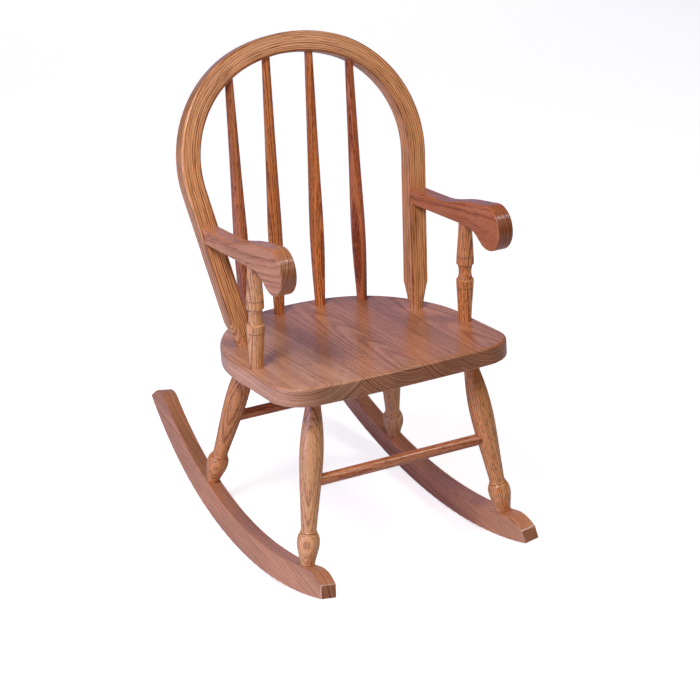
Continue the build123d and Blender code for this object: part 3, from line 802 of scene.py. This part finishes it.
class CHAIR_OT_rockers(bpy.types.Operator):
    """Builds the rockers with the edges of their end faces eased, as a sander leaves them"""

    bl_idname = "chair.rockers"
    bl_label = "Rockers"

    # direction from the pith
    rockers = {"rocker_left": (-0.9, 0, 0.4), "rocker_right": (-0.9, 0, -0.4)}
    pith_mm = 110.0
    # distance in metres that joins corners, and angle that makes one face of flat facets
    joined, flat = 1e-6, math.radians(0.2)
    # area in square metres that only the sides and the end faces have
    wide_area = 0.0002
    # painted highlight: rims of the end faces that look this way, up and to the left towards the
    # lights, are painted paler
    highlight_side = Vector((-0.7, 0, 0.7))

    def execute(self, context):
        for rocker, outward in self.rockers.items():
            start, along = long_axis(rocker)
            place = grain_place(start, along, Vector(outward), self.pith_mm)
            oak = lacquered_oak(
                "sawn_red_oak_" + rocker, place, 3.0, depth=0.4, pores=0.25, pore_mm=18.0,
                end_of=along, board=True, painted_highlight=True,
            )
            data = self.eased(rocker, context.scene.rocking_chair_oak.end_ease)
            data.materials.append(oak)
            piece = bpy.data.objects.new("eased_" + rocker, data)
            context.scene.collection.objects.link(piece)
            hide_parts(rocker)
            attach(piece, ROOT)
        return {"FINISHED"}

    @classmethod
    def eased(cls, rocker, ease):
        """The rocker's CAD mesh with the edges round its two end faces eased.

        Each end face keeps its place, a little smaller, and its old outline moves back.  The rim
        between them is marked for a painted highlight, stronger where it faces up and to the
        left, towards the lights.
        """
        mesh = bmesh.new()
        mesh.from_mesh(NODES[rocker].data)
        painted_highlight = mesh.faces.layers.float.new("painted_highlight")
        bmesh.ops.remove_doubles(mesh, verts=mesh.verts, dist=cls.joined)
        bmesh.ops.dissolve_limit(
            mesh, angle_limit=cls.flat, verts=mesh.verts, edges=mesh.edges
        )
        wide = [each for each in mesh.faces if each.calc_area() > cls.wide_area]
        wide.sort(key=lambda each: each.calc_center_median().y)
        for end in (wide[0], wide[-1]):
            normal, middle = end.normal.copy(), end.calc_center_median()
            rim = bmesh.ops.inset_region(
                mesh, faces=[end], thickness=ease, use_even_offset=True
            )["faces"]
            for vertex in {each for face in rim for each in face.verts} - set(end.verts):
                vertex.co -= normal * ease / 2
            # painted highlight: each rim face is marked by how squarely it faces up and to the left
            for face in rim:
                towards = (face.calc_center_median() - middle).normalized()
                face[painted_highlight] = max(0.0, towards.dot(cls.highlight_side))
        # normals weighted by area keep the wide faces flat and round the rims over
        normals = []
        for vertex in mesh.verts:
            weighted = (each.normal * each.calc_area() for each in vertex.link_faces)
            normals.append(sum(weighted, Vector()).normalized())
        for each in mesh.faces:
            each.smooth = True
        data = bpy.data.meshes.new("eased_" + rocker)
        mesh.to_mesh(data)
        mesh.free()
        data.normals_split_custom_set_from_vertices(normals)
        return data


class CHAIR_OT_fastenings(bpy.types.Operator):
    """Finishes the wooden plugs, the screws under them and the brads"""

    bl_idname = "chair.fastenings"
    bl_label = "Plugs, screws and brads"

    def execute(self, context):
        middle = sum(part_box("arm_plugs"), Vector()) / 2
        place = grain_place(middle, ACROSS, Vector((0, 0, 1)), 30.0)
        dress("arm_plugs", lacquered_oak("cut_red_oak_plug", place, 2.2))
        steel = dark_steel("darkened_steel_wire")
        dress("arm_screws", steel)
        dress("rocker_brads", steel)
        return {"FINISHED"}


class CHAIR_OT_studio(bpy.types.Operator):
    """Sets the pale floor, the soft lights and the camera"""

    bl_idname = "chair.studio"
    bl_label = "Studio"

    floor_radius = 20.0
    # half the chair's height, where the lights aim
    aim = Vector((0, 0, 0.35))
    # azimuth and elevation in degrees, distance and size in metres, power in watts, and tint
    lights = {
        "key_softbox": (-55, 50, 2.0, 0.65, 21, "#FFFBF7"),
        "fill_softbox": (45, 53, 3.0, 0.8, 17, "#FFFBF7"),
        "left_panel": (-85, 10, 2.4, 1.6, 25, "#B4B8FF"),
        "upper_softbox": (27, 30, 2.8, 0.7, 3, "#FFFAFA"),
        "rear_panel": (160, 13, 2.8, 2.6, 7, "#C2C6FF"),
    }

    def execute(self, context):
        studio = context.scene.rocking_chair_studio
        self.floor(context, studio)
        self.surround(context, studio)
        for name, settings in self.lights.items():
            self.softbox(context, name, *settings)
        self.camera(context, studio)
        context.scene.view_settings.view_transform = "Standard"
        context.scene.view_settings.look = "None"
        return {"FINISHED"}

    @classmethod
    def floor(cls, context, studio):
        """A round floor, wide enough to have no edge in view."""
        mesh = bmesh.new()
        bmesh.ops.create_circle(mesh, cap_ends=True, radius=cls.floor_radius, segments=96)
        data = bpy.data.meshes.new("studio_floor")
        mesh.to_mesh(data)
        mesh.free()
        data.materials.append(white_floor("matt_white_floor", studio))
        floor = bpy.data.objects.new("studio_floor", data)
        context.scene.collection.objects.link(floor)

    @staticmethod
    def surround(context, studio):
        """Lavender white walls; the camera sees them white."""
        world = bpy.data.worlds.new("studio_surround")
        world.use_nodes = True
        tree = world.node_tree
        tree.nodes.clear()
        walls, seen = (
            add(tree, "ShaderNodeBackground", {"Color": (*tint, 1), "Strength": light}).outputs[0]
            for tint, light in ((studio.wall_colour, studio.wall_light), ((1, 1, 1), 1.0))
        )
        path = add(tree, "ShaderNodeLightPath").outputs["Is Camera Ray"]
        both = add(tree, "ShaderNodeMixShader", {0: path, 1: walls, 2: seen}).outputs[0]
        add(tree, "ShaderNodeOutputWorld", {"Surface": both})
        context.scene.world = world

    @classmethod
    def softbox(cls, context, name, azimuth, elevation, distance, size, power, tint):
        """A round soft light that aims at the chair, unseen by the camera."""
        light = bpy.data.lights.new(name, "AREA")
        light.shape = "DISK"
        light.size = size
        light.energy = power
        light.color = from_hex(tint)
        lamp = bpy.data.objects.new(name, light)
        back = direction(math.radians(azimuth), math.radians(elevation))
        lamp.location = cls.aim + back * distance
        lamp.rotation_mode = "QUATERNION"
        lamp.rotation_quaternion = (-back).to_track_quat("-Z", "Y")
        lamp.visible_camera = False
        context.scene.collection.objects.link(lamp)

    @staticmethod
    def camera(context, studio):
        """A long lens that looks a little down on the chair from its right."""
        data = bpy.data.cameras.new("camera")
        data.lens = studio.lens
        data.sensor_width = 36
        camera = bpy.data.objects.new("camera", data)
        back = direction(studio.azimuth, studio.elevation)
        right = Vector((math.cos(studio.azimuth), math.sin(studio.azimuth), 0))
        level = Matrix((right, back.cross(right), back)).transposed()
        turn = level @ Matrix.Rotation(studio.roll, 3, "Z")
        camera.matrix_world = Matrix.Translation(studio.place) @ turn.to_4x4()
        context.scene.collection.objects.link(camera)
        context.scene.camera = camera


class CHAIR_PT_panel(bpy.types.Panel):
    """Sizes, finishes and steps of the rocking chair"""

    bl_idname = "CHAIR_PT_panel"
    bl_label = "Rocking Chair"
    bl_space_type = "VIEW_3D"
    bl_region_type = "UI"
    bl_category = "Rocking Chair"

    def draw(self, context):
        for title, name in GROUPS.items():
            column = self.layout.box().column()
            column.label(text=title)
            settings = getattr(context.scene, name)
            for key in settings.bl_rna.properties.keys():
                if key not in ("rna_type", "name"):
                    column.prop(settings, key)
        for step in STEPS:
            self.layout.operator(step.bl_idname)


GROUPS = {
    "Oak": "rocking_chair_oak",
    "Hoop": "rocking_chair_hoop",
    "Studio": "rocking_chair_studio",
}
SETTINGS = (OakSettings, HoopSettings, StudioSettings)
STEPS = (
    CHAIR_OT_seat,
    CHAIR_OT_hoop,
    CHAIR_OT_turnings,
    CHAIR_OT_arms,
    CHAIR_OT_rockers,
    CHAIR_OT_fastenings,
    CHAIR_OT_studio,
)


def register():
    for each in (*SETTINGS, *STEPS, CHAIR_PT_panel):
        bpy.utils.register_class(each)
    for name, settings in zip(GROUPS.values(), SETTINGS):
        setattr(bpy.types.Scene, name, PointerProperty(type=settings))


def unregister():
    for name in GROUPS.values():
        delattr(bpy.types.Scene, name)
    for each in reversed((*SETTINGS, *STEPS, CHAIR_PT_panel)):
        bpy.utils.unregister_class(each)


def main():
    register()
    for step in STEPS:
        group, name = step.bl_idname.split(".")
        getattr(getattr(bpy.ops, group), name)()


if __name__ == "__main__":
    main()
